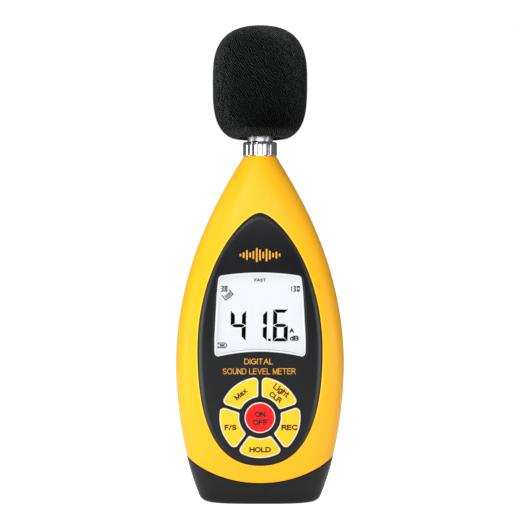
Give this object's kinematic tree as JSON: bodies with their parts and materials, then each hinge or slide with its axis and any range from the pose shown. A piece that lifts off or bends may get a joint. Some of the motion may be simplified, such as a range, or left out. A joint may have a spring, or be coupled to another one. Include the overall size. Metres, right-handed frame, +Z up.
{
  "type": "sound level meter",
  "caption": "Handheld sound level meter with a tapered two-shell casing, display, ring of keys, foam-covered microphone on a knurled collar, and a battery bay behind a door.",
  "frame": {"origin": "centre of the boot's flat base, on the axis of the microphone", "axes": "+Z up the casing to the foam ball, the display and keys face -Y, and +X is to the right of someone who reads the display"},
  "size_m": [0.087, 0.0492, 0.245],
  "materials": {
    "casing_yellow": "satin moulded",
    "boot_black": "fine satin",
    "panel_black": "fine satin",
    "window_clear": "clear polished",
    "foam_black": "open-cell foam",
    "soft_pad": "closed-cell foam",
    "lcd_face": "pale film",
    "lcd_glass": "polished",
    "guide_clear": "frosted",
    "holder_white": "moulded",
    "led": "clear lens",
    "zebra_pink": "matt",
    "silicone_grey": "matt",
    "key_yellow": "satin",
    "key_red": "satin",
    "board_green": "solder mask",
    "chip_black": "moulded",
    "can_steel": "plated",
    "capacitor_blue": "sleeved can",
    "trimmer_blue": "moulded",
    "trimmer_cream": "moulded",
    "chrome": "bright plated",
    "lead_grey": "sheathed",
    "lead_red": "sheathed",
    "lead_black": "sheathed",
    "battery_jacket": "wrapped can",
    "brass": "turned"
  },
  "bodies": {
    "casing": {"front_shell": "casing_yellow", "rear_shell": "casing_yellow", "end_boot": "boot_black", "front_panel": "panel_black", "display_window": "window_clear", "display_gasket": "soft_pad", "lcd_polariser": "lcd_face", "lcd_front_glass": "lcd_glass", "lcd_rear_glass": "lcd_glass", "light_guide": "guide_clear", "lcd_holder": "holder_white", "mic_connector": "holder_white", "backlight_leds": "led", "zebra_strip": "zebra_pink", "keypad_mat": "silicone_grey", "main_board": "board_green", "preamp_board": "board_green", "processor_chip": "chip_black", "detector_chip": "chip_black", "amplifier_chips": "chip_black", "crystal": "can_steel", "battery_terminals": "can_steel", "housing_screws": "can_steel", "board_screws": "can_steel", "mic_grid": "can_steel", "mic_capsule": "can_steel", "sleeve_clip": "can_steel", "capacitors": "capacitor_blue", "trimmer_body": "trimmer_blue", "mic_sleeve": "chrome", "mic_lead": "lead_grey", "battery_lead_red": "lead_red", "battery_lead_black": "lead_black", "battery_clip": "lead_black", "battery": "battery_jacket", "tripod_insert": "brass"},
    "power_key": {"power_key": "key_red"},
    "max_key": {"max_key": "key_yellow"},
    "light_key": {"light_key": "key_yellow"},
    "rec_key": {"rec_key": "key_yellow"},
    "hold_key": {"hold_key": "key_yellow"},
    "speed_key": {"speed_key": "key_yellow"},
    "foam_ball": {"windscreen": "foam_black"},
    "door": {"battery_door": "boot_black", "battery_pad": "soft_pad"},
    "washer": {"collar_washer": "chrome"},
    "collar": {"mic_collar": "chrome"},
    "trimmer": {"trimmer_rotor": "trimmer_cream"}
  },
  "joints": [
    {"name": "power_key_press", "type": "slide", "parent": "casing", "child": "power_key", "axis": [0, 1, 0], "range_m": [0, 0.0008], "stiffness_N_per_m": 1200},
    {"name": "max_key_press", "type": "slide", "parent": "casing", "child": "max_key", "axis": [0, 1, 0], "range_m": [0, 0.0008], "stiffness_N_per_m": 1200},
    {"name": "light_key_press", "type": "slide", "parent": "casing", "child": "light_key", "axis": [0, 1, 0], "range_m": [0, 0.0008], "stiffness_N_per_m": 1200},
    {"name": "rec_key_press", "type": "slide", "parent": "casing", "child": "rec_key", "axis": [0, 1, 0], "range_m": [0, 0.0008], "stiffness_N_per_m": 1200},
    {"name": "hold_key_press", "type": "slide", "parent": "casing", "child": "hold_key", "axis": [0, 1, 0], "range_m": [0, 0.0008], "stiffness_N_per_m": 1200},
    {"name": "speed_key_press", "type": "slide", "parent": "casing", "child": "speed_key", "axis": [0, 1, 0], "range_m": [0, 0.0008], "stiffness_N_per_m": 1200},
    {"name": "windscreen_pull", "type": "slide", "parent": "casing", "child": "foam_ball", "axis": [0, 0, 1], "range_m": [0, 0.04]},
    {"name": "battery_door_swing", "type": "hinge", "parent": "casing", "child": "door", "pos_m": [0, 0.01699, 0.02], "axis": [-1, 0, 0], "range_deg": [0, 75]},
    {"name": "collar_lift", "type": "slide", "parent": "casing", "child": "washer", "axis": [0, 0, 1], "range_m": [0, 0.00112]},
    {"name": "collar_turn", "type": "hinge", "parent": "washer", "child": "collar", "pos_m": [0, 0, 0.1814], "axis": [0, 0, 1], "range_deg": [0, 540.3]},
    {"name": "calibration_turn", "type": "hinge", "parent": "casing", "child": "trimmer", "pos_m": [0.012, -0.0045, 0.122], "axis": [0, 1, 0], "range_deg": [-130, 130]}
  ],
  "couplings": [
    {"joint": "collar_turn", "follows": "collar_lift", "rad_per_m": 8377.6}
  ]
}
